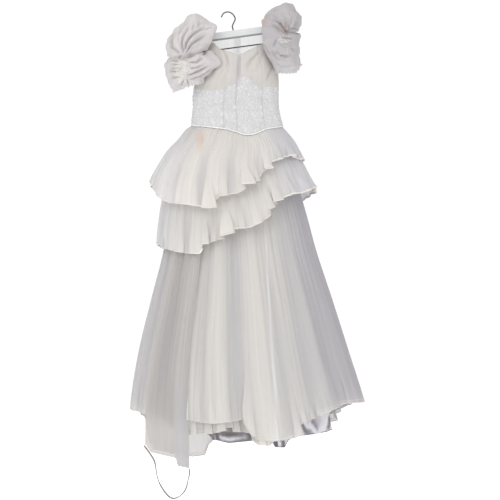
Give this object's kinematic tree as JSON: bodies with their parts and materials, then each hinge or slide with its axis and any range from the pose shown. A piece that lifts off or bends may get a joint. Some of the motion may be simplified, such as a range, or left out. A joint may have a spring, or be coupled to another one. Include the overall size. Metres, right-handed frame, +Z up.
{
  "type": "wedding dress on a hanger",
  "caption": "Ivory wedding dress with puff sleeves, lace midriff, asymmetric flounces and a train, on a white hanger.",
  "frame": {"origin": "inside of the hook's crown, where the hanger hangs", "axes": "+Z up, front of the dress faces -Y, the wearer's right is towards -X"},
  "size_m": [0.8492, 0.4508, 1.7745],
  "materials": {
    "white_wood": "white painted wood, satin",
    "chrome": "bright wire",
    "dark_metal": "grey metal rod",
    "lace": "raised white lace",
    "chiffon": "ivory chiffon over satin, soft sheen",
    "organza": "sheer crisp organza",
    "satin": "smooth satin"
  },
  "bodies": {
    "root": {"hanger_bar": "white_wood", "hanger_hook": "chrome", "hanger_rod": "dark_metal", "midriff_side_front_left": "lace", "midriff_front_left": "lace", "midriff_front_right": "lace", "midriff_side_front_right": "lace", "midriff_side_back_right": "lace", "midriff_back_right": "lace", "midriff_back_left": "lace", "midriff_side_back_left": "lace", "yoke_side_front_left": "chiffon", "yoke_front_left": "chiffon", "yoke_front_right": "chiffon", "yoke_side_front_right": "chiffon", "yoke_back_right": "chiffon", "yoke_back_left": "chiffon", "back_placket": "satin", "waist_piping": "satin", "shoulder_right": "chiffon", "shoulder_left": "chiffon", "sleeve_right_upper": "organza", "sleeve_right_lower": "organza", "sleeve_right_applique": "lace", "sleeve_left_upper": "organza", "sleeve_left_lower": "organza", "sleeve_left_applique": "lace", "flounce_upper": "chiffon", "flounce_upper_binding": "satin", "flounce_lower": "chiffon", "flounce_lower_binding": "satin", "skirt_outer": "chiffon", "skirt_outer_binding": "satin", "skirt_under": "chiffon", "skirt_lining": "satin", "train_panel": "chiffon", "train_panel_binding": "satin", "train_loop": "satin"}
  },
  "joints": []
}
